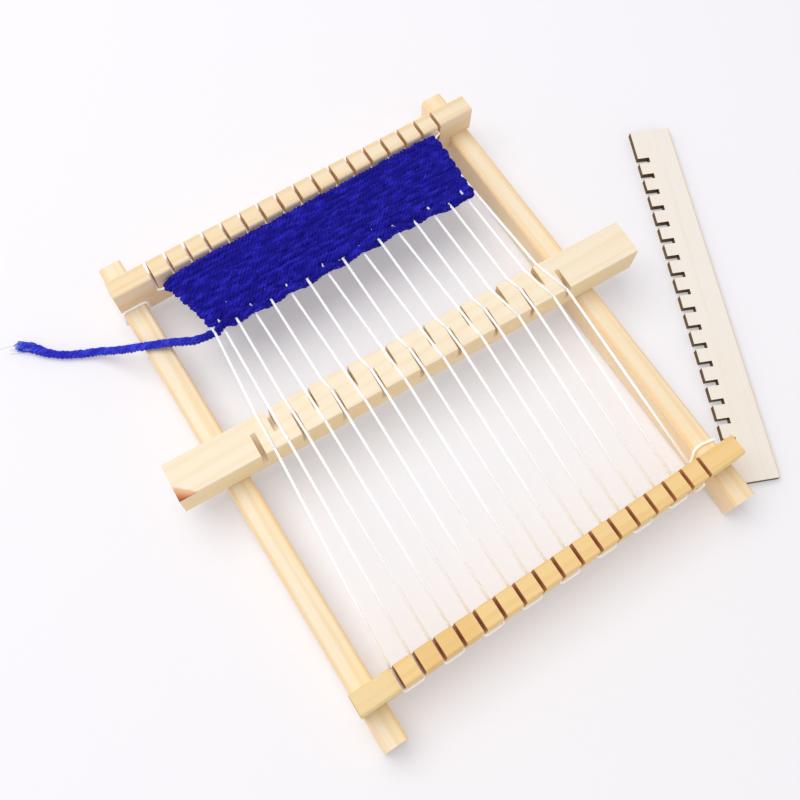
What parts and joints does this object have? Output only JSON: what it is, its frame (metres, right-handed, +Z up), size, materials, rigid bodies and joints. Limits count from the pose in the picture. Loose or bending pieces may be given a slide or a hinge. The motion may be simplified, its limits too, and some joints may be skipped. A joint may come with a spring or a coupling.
{
  "type": "small frame weaving loom",
  "caption": "Small wooden frame weaving loom with slotted bars, a rolling heddle bar, a loose plywood comb, a strung warp and a started cloth.",
  "frame": {"origin": "on the table, the middle of the left rail's underside", "axes": "+X along the slotted bars to the right, +Y along the rails from the near bar to the far bar, +Z up from the table"},
  "size_m": [0.279, 0.2054, 0.0306],
  "materials": {
    "rail_wood": "satin",
    "near_wood": "satin",
    "pale_wood": "satin",
    "plywood": "matte",
    "string": "matte",
    "wool": "matte"
  },
  "bodies": {
    "frame": {"left_rail": "rail_wood", "right_rail": "rail_wood", "near_bar": "near_wood", "far_bar": "pale_wood", "warp": "string", "woven_cloth": "wool", "weft_tail": "wool"},
    "heddle": {"heddle_bar": "pale_wood"},
    "comb": {"comb": "plywood"}
  },
  "joints": [
    {"name": "heddle_turn", "type": "hinge", "parent": "frame", "child": "heddle", "pos_m": [0.07599, 0.01219, 0.015], "axis": [-0.9992, 0.0401, 0], "range_deg": [0, 45], "deforming": ["warp"]},
    {"name": "comb_lift", "type": "slide", "parent": "frame", "child": "comb", "axis": [0, 0, 1], "range_m": [0, 0.04]}
  ]
}
